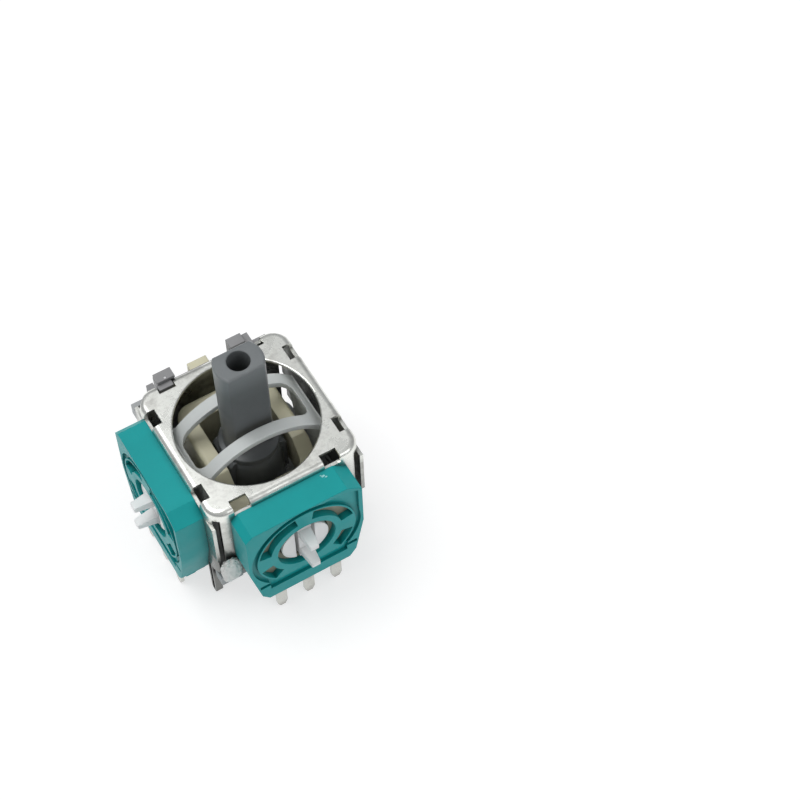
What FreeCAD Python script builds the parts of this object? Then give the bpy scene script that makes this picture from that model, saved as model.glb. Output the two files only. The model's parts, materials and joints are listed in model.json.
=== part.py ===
"""Analog stick module of a game controller, as a parametric model in millimetres.

The origin is on the stem's axis, at the surface of the circuit board that the pegs stand on.
+Z runs up the stem. One potentiometer is on the -Y side, one on the -X side, and the push
switch is on the +Y side.
"""
import FreeCAD, Part
import math
import os
from types import SimpleNamespace
import Sketcher

doc = FreeCAD.newDocument("AnalogStick")

# Driving dimensions, in millimetres and degrees
SIZES = {
    # heights above the circuit board
    "pivot_height": 6.1,
    "frame_height": 11.6,
    "stem_height": 19.85,
    "wall_foot": 2.3,
    "leg_reach": 2.3,
    # folded steel cover
    "frame_width": 13.2,
    "sheet": 0.3,
    "corner_radius": 1.5,
    "bend_radius": 0.55,
    "window_radius": 5.75,
    "rim_radius": 0.12,
    "slot_near": 3.19,
    "slot_far": 4.63,
    "slot_inner": 5.65,
    "slot_depth": 0.75,
    "corner_gap": 0.45,
    "corner_gap_top": 10.7,
    "wing_foot": 5.1,
    "wing_top": 10.1,
    "wing_end": 6.5,
    "corner_cut": 1.3,
    "leg_offset": 4.65,
    "leg_width": 0.8,
    "leg_groove": 0.36,
    "groove_depth": 0.12,
    "tab_offset": 2.6,
    "tab_width": 1.2,
    "tab_lip": 0.6,
    "back_wall_foot": 5.0,
    # moulded base
    "base_underside": 0.9,
    "base_top": 1.9,
    "wall_clearance": 0.1,
    "base_corner": 1.2,
    "peg_x": 3.55,
    "peg_y": 3.3,
    "peg_radius": 0.75,
    "boss_radius": 0.9,
    "boss_bore": 0.4,
    "flange_reach": 0.7,
    "flange_half": 2.9,
    "lip_half": 3.6,
    "post_inner": 4.6,
    "post_outer": 6.45,
    "post_reach": 0.55,
    "post_drop": 0.5,
    "latch_radius": 0.55,
    "deck_underside": 0.5,
    "deck_top": 1.5,
    "deck_half": 5.3,
    "deck_length": 11.8,
    "deck_corner": 1.0,
    "deck_start": 4.7,
    "deck_rim": 0.45,
    "deck_rim_height": 0.9,
    "deck_boss_radius": 1.05,
    "deck_boss_bore": 0.6,
    "rib_width": 0.55,
    "rib_drop": 0.35,
    "rib_spacing": 1.75,
    # stem
    "stem_radius": 2.0,
    "stem_flat": 1.28,
    "cap_bore": 0.92,
    "cap_bore_depth": 5.0,
    "shoulder_radius": 2.4,
    "shoulder_top": 3.6,
    "shoulder_cone": 0.35,
    "hub_half": 2.5,
    "hub_low": 0.9,
    "hub_high": 2.8,
    "hub_depth": 1.5,
    "hub_bevel": 0.4,
    "trunnion_radius": 0.8,
    "trunnion_reach": 4.0,
    "foot_flat": 0.9,
    "foot_radius": 1.2,
    "foot_rim": 2.0,
    "foot_depth": 2.3,
    # lower arm
    "rail_inner": 2.8,
    "rail_outer": 4.1,
    "rail_below": 1.1,
    "rail_above": 3.2,
    "arm_half": 5.3,
    "arm_bar": 1.9,
    "arm_corner": 1.4,
    "arm_edge": 0.4,
    "slope_start": 1.9,
    "slope_knee": 1.3,
    "slope_end": 1.05,
    "arm_step": 0.4,
    "arm_step_start": 4.7,
    "shaft_radius": 1.0,
    "shaft_end": 9.15,
    "fin_start": 7.6,
    "fin_width": 1.7,
    "fin_top": 2.45,
    "tongue_width": 1.0,
    "tongue_height": 1.6,
    "tongue_start": 5.8,
    "tongue_end": 7.6,
    "running_gap": 0.05,
    # upper arm
    "arch_radius": 6.7,
    "arch_thickness": 0.48,
    "arch_half": 2.78,
    "arch_side": 5.45,
    "arch_shoulder": 9.9,
    "arch_slot": 1.74,
    "arch_slot_half": 4.7,
    "cheek_half": 1.8,
    "pin_radius": 1.0,
    "pin_end": 6.9,
    # potentiometers
    "pot_depth": 2.4,
    "pot_half": 5.05,
    "pot_top": 10.95,
    "pot_bottom": 0.5,
    "waist_height": 5.2,
    "chin_half": 4.25,
    "chin_height": 1.3,
    "pot_wall": 0.6,
    "face_plate": 0.6,
    "bevel_wide": 1.25,
    "bevel_high": 1.0,
    "bevel_small": 0.6,
    "dial_radius": 4.8,
    "ring_radius": 4.35,
    "dial_depth": 0.25,
    "dial_chord": 3.3,
    "groove_low": 1.85,
    "groove_high": 2.4,
    "groove_half": 3.45,
    "arc_inner": 3.15,
    "arc_outer": 4.2,
    "arc_start": 11.0,
    "arc_stop": 79.0,
    "low_arc_start": 16.0,
    "low_arc_stop": 46.0,
    "hub_opening": 2.55,
    "foot_block_half": 3.65,
    "foot_block_low": 0.1,
    "wafer": 0.3,
    "wafer_gap": 0.1,
    "terminal_pitch": 2.5,
    "terminal_width": 0.9,
    "terminal": 0.3,
    "terminal_tip": 0.5,
    "terminal_head": 1.7,
    "terminal_reach": 2.25,
    "terminal_gap": 0.05,
    # rotors
    "neck_radius": 1.5,
    "neck_start": 5.9,
    "disc_radius": 3.3,
    "disc_start": 7.2,
    "disc": 0.55,
    "rotor_hub": 2.05,
    "hub_end": 8.75,
    "socket_width": 1.2,
    "socket_height": 2.1,
    "socket_end": 7.75,
    "prong_offset": 1.3,
    "prong_width": 1.15,
    "prong": 0.95,
    "prong_end": 10.45,
    "prong_taper": 6.0,
    "prong_round": 0.15,
    "lobe_gap": 0.3,
    "lobe_depth": 0.8,
    "wiper": 0.12,
    "wiper_inner": 2.15,
    "wiper_outer": 3.0,
    "brush_width": 0.5,
    "brush_rise": 0.3,
    # spring and its seat
    "seat_gap": 0.3,
    "seat": 0.5,
    "seat_half_x": 2.2,
    "seat_half_y": 3.6,
    "seat_corner": 0.8,
    "seat_pin_end": 1.3,
    "coil_radius": 1.3,
    "wire": 0.25,
    "turns": 2,
    "spring_gap": 0.03,
    # switch and its guide
    "switch_y": 7.8,
    "switch_half": 3.0,
    "switch_top": 4.1,
    "switch_cover": 0.2,
    "switch_cavity": 2.3,
    "cavity_floor": 2.6,
    "button_radius": 1.6,
    "button_gap": 0.12,
    "button_foot": 3.6,
    "button_clearance": 0.1,
    "dome_radius": 2.1,
    "dome_height": 0.4,
    "dome": 0.1,
    "pin_row_x": 3.25,
    "pin_row_y": 2.25,
    "pin_width": 0.7,
    "pin_sheet": 0.25,
    "pin_hole_x": 0.9,
    "pin_hole_y": 1.5,
    "guide_gap": 0.05,
    "guide_depth": 0.65,
    "guide_half": 5.5,
    "guide_top": 10.2,
    "guide_foot": 4.4,
    "cheek_inner": 3.5,
    "cheek_wall": 0.6,
    "cheek_reach": 10.5,
    "cheek_top": 7.6,
    "ledge": 0.45,
    "guide_slot_gap": 0.15,
    "guide_panel": 0.3,
    "guide_border": 0.7,
    "hook_top": 11.95,
    "hook_left": 4.4,
    "hook_left_end": 2.9,
    "hook_right": 2.05,
    "hook_right_end": 3.35,
    "hook_lip": 0.3,
    "hook_reach": 6.4,
    "lip_near": 3.27,
    "lip_far": 4.5,
    "lip_far_right": 3.95,
    "lip_reach": 5.9,
    "lip_low": 0.6,
}

sheet = doc.addObject("Spreadsheet::Sheet", "Sizes")


class Size:
    """A value together with the sheet expression that it comes from."""

    def __init__(self, value, text):
        self.value = value
        self.text = text

    def __add__(self, other):
        return combine(self, "+", other, lambda a, b: a + b)

    def __sub__(self, other):
        return combine(self, "-", other, lambda a, b: a - b)

    def __mul__(self, other):
        return combine(self, "*", other, lambda a, b: a * b)

    def __truediv__(self, other):
        return combine(self, "/", other, lambda a, b: a / b)

    def __radd__(self, other):
        return as_size(other) + self

    def __rsub__(self, other):
        return as_size(other) - self

    def __rmul__(self, other):
        return as_size(other) * self

    def __neg__(self):
        return as_size(0) - self


def as_size(number):
    if isinstance(number, Size):
        return number
    return Size(float(number), "%.10g" % number)


def combine(left, sign, right, rule):
    left = as_size(left)
    right = as_size(right)
    return Size(rule(left.value, right.value), "(%s %s %s)" % (left.text, sign, right.text))


def cosine(angle):
    return Size(math.cos(math.radians(angle.value)), "cos(%s)" % angle.text)


def sine(angle):
    return Size(math.sin(math.radians(angle.value)), "sin(%s)" % angle.text)


for row, (alias, number) in enumerate(SIZES.items(), start=1):
    sheet.set("A%d" % row, alias)
    sheet.set("B%d" % row, "%.10g" % number)
    sheet.setAlias("B%d" % row, alias)
doc.recompute()
s = SimpleNamespace(**{alias: Size(sheet.get(alias), "Sizes." + alias) for alias in SIZES})

# Places that several pieces share
half_frame = s.frame_width / 2
wall_inside = half_frame - s.sheet
base_half = wall_inside - s.wall_clearance
pot_back = half_frame
pot_face = pot_back + s.pot_depth
face_back = pot_face - s.face_plate
seat_top = s.pivot_height - s.foot_depth - s.seat_gap
seat_bottom = seat_top - s.seat
button_top = s.pivot_height - s.shaft_radius - s.button_gap
guide_back = half_frame + s.guide_gap
guide_face = guide_back + s.guide_depth


def bind(item, path, value):
    """Tie one property of an object to the sheet."""
    item.setExpression(path, as_size(value).text)


def new_body(label):
    body = doc.addObject("PartDesign::Body", label)
    body.Label = label
    return body


def sketch(body, plane, offset=0):
    """A sketch on one of the body's own origin planes, moved along that plane's normal.

    The normals are +Z for XY, -Y for XZ and +X for YZ.
    """
    drawing = body.newObject("Sketcher::SketchObject", body.Label + "_sketch")
    for feature in body.Origin.OriginFeatures:
        if feature.Role == plane + "_Plane":
            drawing.AttachmentSupport = [(feature, "")]
    drawing.MapMode = "FlatFace"
    bind(drawing, "AttachmentOffset.Base.z", offset)
    return drawing


def hold(drawing, kind, *where_and_value):
    """Add one dimension to a sketch and tie it to the sheet."""
    value = as_size(where_and_value[-1])
    index = drawing.addConstraint(Sketcher.Constraint(kind, *where_and_value[:-1], value.value))
    if "Sizes." in value.text:
        drawing.setExpression("Constraints[%d]" % index, value.text)


def hold_point(drawing, edge, end, point):
    hold(drawing, "DistanceX", -1, 1, edge, end, point[0])
    hold(drawing, "DistanceY", -1, 1, edge, end, point[1])


def vector(point):
    return FreeCAD.Vector(as_size(point[0]).value, as_size(point[1]).value, 0)


def polygon(drawing, points):
    first = drawing.GeometryCount
    count = len(points)
    for index in range(count):
        line = Part.LineSegment(vector(points[index]), vector(points[(index + 1) % count]))
        drawing.addGeometry(line)
    for index in range(count):
        following = first + (index + 1) % count
        drawing.addConstraint(Sketcher.Constraint("Coincident", first + index, 2, following, 1))
        hold_point(drawing, first + index, 1, points[index])


def rectangle(drawing, left, low, right, high):
    polygon(drawing, [(left, low), (right, low), (right, high), (left, high)])


def circle(drawing, x, y, radius):
    shape = Part.Circle(vector((x, y)), FreeCAD.Vector(0, 0, 1), as_size(radius).value)
    index = drawing.addGeometry(shape)
    hold_point(drawing, index, 3, (x, y))
    hold(drawing, "Radius", index, radius)


def arc(drawing, x, y, radius, start, stop):
    """An arc from one angle to another, counter-clockwise, in degrees."""
    round_shape = Part.Circle(vector((x, y)), FreeCAD.Vector(0, 0, 1), as_size(radius).value)
    return drawing.addGeometry(Part.ArcOfCircle(round_shape, math.radians(start), math.radians(stop)))


def rounded_rectangle(drawing, left, low, right, high, radius):
    ends = [(left + radius, low), (right - radius, low), (right, low + radius), (right, high - radius),
            (right - radius, high), (left + radius, high), (left, high - radius), (left, low + radius)]
    centres = [(right - radius, low + radius), (right - radius, high - radius),
               (left + radius, high - radius), (left + radius, low + radius)]
    first = drawing.GeometryCount
    for side in range(4):
        drawing.addGeometry(Part.LineSegment(vector(ends[2 * side]), vector(ends[2 * side + 1])))
        start = 90 * side - 90
        arc(drawing, centres[side][0], centres[side][1], radius, start, start + 90)
    for side in range(4):
        line = first + 2 * side
        following = first + (2 * side + 2) % 8
        drawing.addConstraint(Sketcher.Constraint("Coincident", line, 2, line + 1, 1))
        drawing.addConstraint(Sketcher.Constraint("Coincident", line + 1, 2, following, 1))
        hold_point(drawing, line, 1, ends[2 * side])
        hold_point(drawing, line, 2, ends[2 * side + 1])
        hold(drawing, "Radius", line + 1, radius)


def ring_sector(drawing, x, y, inner, outer, start, stop):
    """A curved window between two radii and two angles about one centre."""
    first = drawing.GeometryCount
    corners = [(x + inner * cosine(start), y + inner * sine(start)),
               (x + outer * cosine(start), y + outer * sine(start)),
               (x + outer * cosine(stop), y + outer * sine(stop)),
               (x + inner * cosine(stop), y + inner * sine(stop))]
    drawing.addGeometry(Part.LineSegment(vector(corners[0]), vector(corners[1])))
    arc(drawing, x, y, outer, start.value, stop.value)
    drawing.addGeometry(Part.LineSegment(vector(corners[2]), vector(corners[3])))
    arc(drawing, x, y, inner, start.value, stop.value)
    join = Sketcher.Constraint
    drawing.addConstraint(join("Coincident", first, 2, first + 1, 1))
    drawing.addConstraint(join("Coincident", first + 1, 2, first + 2, 1))
    drawing.addConstraint(join("Coincident", first + 2, 2, first + 3, 2))
    drawing.addConstraint(join("Coincident", first + 3, 1, first, 1))
    hold_point(drawing, first, 1, corners[0])
    hold_point(drawing, first, 2, corners[1])
    hold_point(drawing, first + 2, 1, corners[2])
    hold_point(drawing, first + 2, 2, corners[3])
    hold(drawing, "Radius", first + 1, outer)
    hold(drawing, "Radius", first + 3, inner)


def feature(body, kind, drawing, length):
    item = body.newObject(kind, body.Label + "_" + kind.split("::")[1].lower())
    item.Profile = drawing
    bind(item, "Length", length)
    return item


def pad(body, drawing, length, middle=False):
    """Grow the sketch along its normal, or evenly to both sides of it."""
    item = feature(body, "PartDesign::Pad", drawing, length)
    item.Midplane = middle
    doc.recompute()
    return item


def turn(body, drawing):
    """Turn the sketch once around its own upright axis."""
    item = body.newObject("PartDesign::Revolution", body.Label + "_turned")
    item.Profile = drawing
    item.ReferenceAxis = (drawing, ["V_Axis"])
    item.Angle = 360.0
    doc.recompute()
    return item


def cut(body, drawing, length, middle=False):
    """Cut the sketch out along its normal, or evenly to both sides of it."""
    before = body.Shape.Volume
    item = feature(body, "PartDesign::Pocket", drawing, length)
    item.Midplane = middle
    item.Reversed = not middle
    doc.recompute()
    if not item.Shape.Volume < before - 1e-6:
        raise ValueError(body.Label + ": a pocket removed nothing")
    return item


def edges_where(body, test):
    """Names of the body's edges whose bounding box passes a test."""
    names = []
    for index, edge in enumerate(body.Tip.Shape.Edges, start=1):
        if test(edge.BoundBox):
            names.append("Edge%d" % index)
    return names


def soften(body, kind, property_name, amount, test):
    """Round or bevel the edges that pass a test."""
    tip = body.Tip
    names = edges_where(body, test)
    if not names:
        raise ValueError(body.Label + ": no edge to soften")
    item = body.newObject(kind, body.Label + "_soften")
    item.Base = (tip, names)
    bind(item, property_name, amount)
    doc.recompute()
    return item


def fillet(body, radius, test):
    return soften(body, "PartDesign::Fillet", "Radius", radius, test)


def chamfer(body, width, test):
    return soften(body, "PartDesign::Chamfer", "Size", width, test)


def near(value, size, room=0.01):
    return abs(value - as_size(size).value) < room


def upright(box):
    return box.XLength < 0.01 and box.YLength < 0.01 and box.ZLength > 0.05


def level_at(box, height):
    return near(box.ZMin, height) and near(box.ZMax, height)


def make_cover():
    """Folded steel sheet: top plate with a round window, four walls and four mounting legs."""
    body = new_body("cover")
    wall_height = s.frame_height - s.wall_foot
    drawing = sketch(body, "XY", s.wall_foot)
    rounded_rectangle(drawing, -half_frame, -half_frame, half_frame, half_frame, s.corner_radius)
    pad(body, drawing, wall_height)
    fillet(body, s.bend_radius, lambda box: level_at(box, s.frame_height))
    drawing = sketch(body, "XY", s.wall_foot)
    inner_corner = s.corner_radius - s.sheet
    rounded_rectangle(drawing, -wall_inside, -wall_inside, wall_inside, wall_inside, inner_corner)
    cut(body, drawing, wall_height - s.sheet)
    drawing = sketch(body, "XY", s.frame_height - s.sheet)
    circle(drawing, 0, 0, s.window_radius)
    cut(body, drawing, s.sheet)
    fillet(body, s.rim_radius, lambda box: near(box.XLength, 2 * s.window_radius))
    cut_bend_slots(body)
    cut_corner_gaps(body)
    cut_wall_openings(body)
    add_legs(body)
    add_clinch_tabs(body)
    return body


def cut_bend_slots(body):
    """Two slots across the bend of each side."""
    drawing = sketch(body, "XY", s.frame_height - s.slot_depth)
    for side in (-1, 1):
        outer = side * (half_frame + 1)
        inner = side * s.slot_inner
        for end in (-1, 1):
            near_end = end * s.slot_near
            far_end = end * s.slot_far
            rectangle(drawing, inner, near_end, outer, far_end)
            rectangle(drawing, near_end, inner, far_end, outer)
    cut(body, drawing, s.slot_depth)


def cut_corner_gaps(body):
    """The upright gap between each Y wall's end and the X wall, and the X wall's wing beside it."""
    edge = half_frame - s.corner_gap - s.sheet
    drawing = sketch(body, "XY", s.wall_foot)
    for x_side in (-1, 1):
        for y_side in (-1, 1):
            rectangle(drawing, x_side * edge, y_side * (half_frame - s.corner_radius),
                      x_side * wall_inside, y_side * (half_frame + 1))
    cut(body, drawing, s.corner_gap_top - s.wall_foot)
    drawing = sketch(body, "XY", s.corner_gap_top)
    past = half_frame + s.wall_clearance
    for x_side in (-1, 1):
        polygon(drawing, [(x_side * (half_frame - s.corner_cut), past), (x_side * past, half_frame - s.corner_cut),
                          (x_side * past, past)])
    cut(body, drawing, s.frame_height - s.corner_gap_top)
    for offset in (wall_inside, -half_frame):
        drawing = sketch(body, "YZ", offset)
        for y_side in (-1, 1):
            rectangle(drawing, y_side * (half_frame - s.corner_radius - s.sheet), s.wing_foot,
                      y_side * s.wing_end, s.wing_top)
        pad(body, drawing, s.sheet)


def cut_wall_openings(body):
    """Bearing holes for the rotors and the pin, and the guide slot over the switch."""
    neck_hole = s.neck_radius + s.running_gap
    drawing = sketch(body, "XZ", wall_inside - s.wall_clearance)
    circle(drawing, 0, s.pivot_height, neck_hole)
    cut(body, drawing, s.sheet + 2 * s.wall_clearance)
    drawing = sketch(body, "YZ", -half_frame - s.wall_clearance)
    circle(drawing, 0, s.pivot_height, neck_hole)
    cut(body, drawing, s.sheet + 2 * s.wall_clearance)
    drawing = sketch(body, "YZ", wall_inside - s.wall_clearance)
    circle(drawing, 0, s.pivot_height, s.pin_radius + s.running_gap)
    cut(body, drawing, s.sheet + 2 * s.wall_clearance)
    slot_half = s.shaft_radius + s.guide_slot_gap
    drawing = sketch(body, "XZ", -half_frame - s.wall_clearance)
    circle(drawing, 0, s.pivot_height, slot_half)
    cut(body, drawing, s.sheet + 2 * s.wall_clearance)
    drawing = sketch(body, "XZ", -half_frame - s.wall_clearance)
    rectangle(drawing, -slot_half, s.back_wall_foot - s.wall_clearance, slot_half, s.pivot_height)
    cut(body, drawing, s.sheet + 2 * s.wall_clearance)
    side = half_frame - s.corner_radius
    drawing = sketch(body, "XZ", -half_frame - s.wall_clearance)
    rectangle(drawing, -side, s.wall_foot - s.wall_clearance, side, s.back_wall_foot)
    cut(body, drawing, s.sheet + 2 * s.wall_clearance)


def add_legs(body):
    """Four legs in the planes of the X walls, folded double below the base, with round tips and
    a pressed groove."""
    radius = s.leg_width / 2
    fold_top = s.base_underside - s.wall_clearance
    for offset, inner, groove in ((wall_inside, wall_inside - s.sheet, half_frame - s.groove_depth),
                                  (-half_frame, -wall_inside, -half_frame)):
        for end in (-1, 1):
            middle = end * s.leg_offset
            drawing = sketch(body, "YZ", offset)
            rectangle(drawing, middle - radius, radius - s.leg_reach, middle + radius, s.wall_foot + s.sheet)
            pad(body, drawing, s.sheet)
            drawing = sketch(body, "YZ", offset)
            circle(drawing, middle, radius - s.leg_reach, radius)
            pad(body, drawing, s.sheet)
            drawing = sketch(body, "YZ", inner)
            rectangle(drawing, middle - radius, radius - s.leg_reach, middle + radius, fold_top)
            pad(body, drawing, s.sheet)
            drawing = sketch(body, "YZ", inner)
            circle(drawing, middle, radius - s.leg_reach, radius)
            pad(body, drawing, s.sheet)
            drawing = sketch(body, "YZ", groove)
            half = s.leg_groove / 2
            rounded_rectangle(drawing, middle - half, radius - s.leg_reach - half / 2,
                              middle + half, s.wall_foot, half / 2)
            cut(body, drawing, s.groove_depth)


def add_clinch_tabs(body):
    """Tabs of the front wall, bent in under the base's edge."""
    for end in (-1, 1):
        low = end * s.tab_offset - s.tab_width / 2
        high = end * s.tab_offset + s.tab_width / 2
        drawing = sketch(body, "XY", s.base_underside - s.sheet)
        rectangle(drawing, low, -half_frame, high, -wall_inside)
        pad(body, drawing, s.wall_foot - s.base_underside + 2 * s.sheet)
        drawing = sketch(body, "XY", s.base_underside - s.sheet)
        rectangle(drawing, low, -half_frame, high, -wall_inside + s.tab_lip)
        pad(body, drawing, s.sheet)


def make_base():
    """Moulded base: floor, pegs, middle boss, edge lips, corner post and the switch deck."""
    body = new_body("base")
    floor = s.base_top - s.base_underside
    drawing = sketch(body, "XY", s.base_underside)
    rounded_rectangle(drawing, -base_half, -base_half, base_half, base_half, s.base_corner)
    pad(body, drawing, floor)
    add_base_lips(body)
    add_deck(body)
    drawing = sketch(body, "XY")
    for x_side in (-1, 1):
        for y_side in (-1, 1):
            circle(drawing, x_side * s.peg_x, y_side * s.peg_y, s.peg_radius)
    circle(drawing, 0, 0, s.boss_radius)
    pad(body, drawing, s.base_underside + floor / 2)
    drawing = sketch(body, "XY")
    circle(drawing, 0, 0, s.boss_bore)
    cut(body, drawing, s.base_top)
    return body


def add_base_lips(body):
    """Lips that the walls stand on, a flange with two round latches, and the corner post."""
    lip_height = s.wall_foot - s.base_underside
    drawing = sketch(body, "XY", s.base_underside)
    rectangle(drawing, -half_frame, -s.lip_half, half_frame, s.lip_half)
    pad(body, drawing, lip_height)
    recess = base_half - s.wall_clearance
    drawing = sketch(body, "XY", s.base_top)
    rectangle(drawing, -recess, -s.lip_half, recess, s.lip_half)
    cut(body, drawing, lip_height)
    drawing = sketch(body, "XY", s.base_underside)
    rectangle(drawing, base_half, -s.flange_half, half_frame + s.flange_reach, s.flange_half)
    pad(body, drawing, lip_height)
    drawing = sketch(body, "XY", s.base_underside)
    for end in (-1, 1):
        circle(drawing, half_frame + s.flange_reach, end * s.flange_half, s.latch_radius)
    pad(body, drawing, lip_height)
    front_inner = s.tab_offset - s.tab_width / 2 - s.wall_clearance
    drawing = sketch(body, "XY", s.base_underside)
    rectangle(drawing, -front_inner, -half_frame, front_inner, -base_half)
    pad(body, drawing, lip_height)
    add_corner_post(body)


def add_corner_post(body):
    """A post outside the front wall, between its left end and the potentiometer."""
    clear = half_frame + s.wall_clearance
    reach = half_frame + s.post_reach
    root = base_half - s.base_corner + 2 * s.wall_clearance
    foot = s.wall_foot - s.wall_clearance - s.base_underside
    drawing = sketch(body, "XY", s.base_underside)
    rectangle(drawing, -s.post_outer, -reach, -s.post_inner, -root)
    pad(body, drawing, foot)
    drawing = sketch(body, "XZ", clear)
    low = s.base_underside
    chin_clear = s.chin_half + s.wall_clearance
    side_clear = s.pot_half + s.wall_clearance
    polygon(drawing, [(-s.post_outer, low), (-chin_clear, low), (-chin_clear, s.chin_height),
                      (-side_clear, s.waist_height - s.post_drop), (-s.post_outer + s.post_drop, s.waist_height - s.post_drop),
                      (-s.post_outer, s.waist_height - 2 * s.post_drop)])
    pad(body, drawing, reach - clear)


def add_deck(body):
    """The deck that carries the switch, with its boss, ribs, recesses and terminal slots."""
    body_room = s.switch_half + s.wall_clearance
    drawing = sketch(body, "XY", s.deck_underside)
    rectangle(drawing, -s.deck_half, s.deck_start, s.deck_half, s.deck_length)
    pad(body, drawing, s.deck_top - s.deck_underside)
    fillet(body, s.deck_corner, lambda box: upright(box) and near(box.YMax, s.deck_length))
    drawing = sketch(body, "XY", s.deck_top)
    rectangle(drawing, -body_room, s.deck_start, body_room, half_frame)
    cut(body, drawing, s.wall_foot)
    drawing = sketch(body, "XY", s.deck_top - s.rib_drop)
    rim_start = half_frame + s.wall_clearance
    inside = s.deck_half - s.deck_rim
    rectangle(drawing, -s.deck_half, rim_start, s.deck_half, s.deck_length)
    rectangle(drawing, -inside, rim_start + s.deck_rim, inside, s.deck_length - s.deck_rim)
    pad(body, drawing, s.rib_drop + s.deck_rim_height)
    drawing = sketch(body, "XY", s.deck_top)
    rectangle(drawing, -inside, rim_start - s.wall_clearance, inside, rim_start + s.deck_rim)
    cut(body, drawing, s.deck_rim_height)
    drawing = sketch(body, "XY", s.deck_underside - s.rib_drop)
    last = s.deck_length - s.deck_corner
    for place in (-1, 0, 1):
        middle = place * s.rib_spacing
        rectangle(drawing, middle - s.rib_width / 2, 0.35 * s.deck_start, middle + s.rib_width / 2, last)
    pad(body, drawing, s.base_underside - s.deck_underside + 2 * s.rib_drop)
    drawing = sketch(body, "XY")
    circle(drawing, 0, s.switch_y, s.deck_boss_radius)
    pad(body, drawing, s.deck_underside + s.rib_drop)
    drawing = sketch(body, "XY")
    circle(drawing, 0, s.switch_y, s.deck_boss_bore)
    cut(body, drawing, s.deck_top - s.rib_drop)
    holes = sketch(body, "XY", 0)
    recesses = sketch(body, "XY", s.deck_underside)
    for side in (-1, 1):
        x_middle = side * s.pin_row_x
        for end in (-1, 1):
            y_middle = s.switch_y + end * s.pin_row_y
            rectangle(holes, x_middle - s.pin_hole_x / 2, y_middle - s.pin_hole_y / 2,
                      x_middle + s.pin_hole_x / 2, y_middle + s.pin_hole_y / 2)
        rounded_rectangle(recesses, x_middle - s.pin_hole_x / 2, s.switch_y - s.pin_row_y / 2,
                          x_middle + s.pin_hole_x / 2, s.switch_y + s.pin_row_y / 2, s.pin_hole_x / 3)
    cut(body, holes, s.wall_foot)
    cut(body, recesses, s.rib_drop)


def make_stem():
    """The stem: a shaft with two flats, its hub with two trunnions, and the foot on the seat."""
    body = new_body("stem")
    drawing = sketch(body, "XY", s.pivot_height)
    circle(drawing, 0, 0, s.stem_radius)
    pad(body, drawing, s.stem_height - s.pivot_height)
    drawing = sketch(body, "XY", s.pivot_height)
    for side in (-1, 1):
        rectangle(drawing, -s.stem_radius, side * s.stem_flat, s.stem_radius, side * s.stem_radius * 1.1)
    cut(body, drawing, s.stem_height - s.pivot_height)
    chamfer(body, s.rim_radius, lambda box: level_at(box, s.stem_height))
    drawing = sketch(body, "XY", s.pivot_height - s.hub_low)
    rectangle(drawing, -s.hub_half, -s.hub_depth, s.hub_half, s.hub_depth)
    pad(body, drawing, s.hub_low + s.hub_high)
    chamfer(body, s.hub_bevel, lambda box: near(box.ZMin, s.pivot_height + s.hub_high)
            and near(abs(box.XMin), s.hub_half) and near(box.XLength, 0))
    drawing = sketch(body, "YZ")
    circle(drawing, 0, s.pivot_height, s.trunnion_radius)
    pad(body, drawing, 2 * s.trunnion_reach, middle=True)
    drawing = sketch(body, "XZ")
    low = s.pivot_height - s.foot_depth
    rim = s.pivot_height - s.foot_rim
    polygon(drawing, [(0, low), (s.foot_flat, low), (s.foot_radius, rim),
                      (s.foot_radius, s.pivot_height), (0, s.pivot_height)])
    turn(body, drawing)
    drawing = sketch(body, "XZ")
    top = s.pivot_height + s.shoulder_top
    polygon(drawing, [(0, s.pivot_height), (s.shoulder_radius, s.pivot_height),
                      (s.shoulder_radius, top - s.shoulder_cone), (s.stem_flat, top), (0, top)])
    turn(body, drawing)
    drawing = sketch(body, "XY", s.stem_height - s.cap_bore_depth)
    circle(drawing, 0, 0, s.cap_bore)
    cut(body, drawing, s.cap_bore_depth)
    return body


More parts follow.
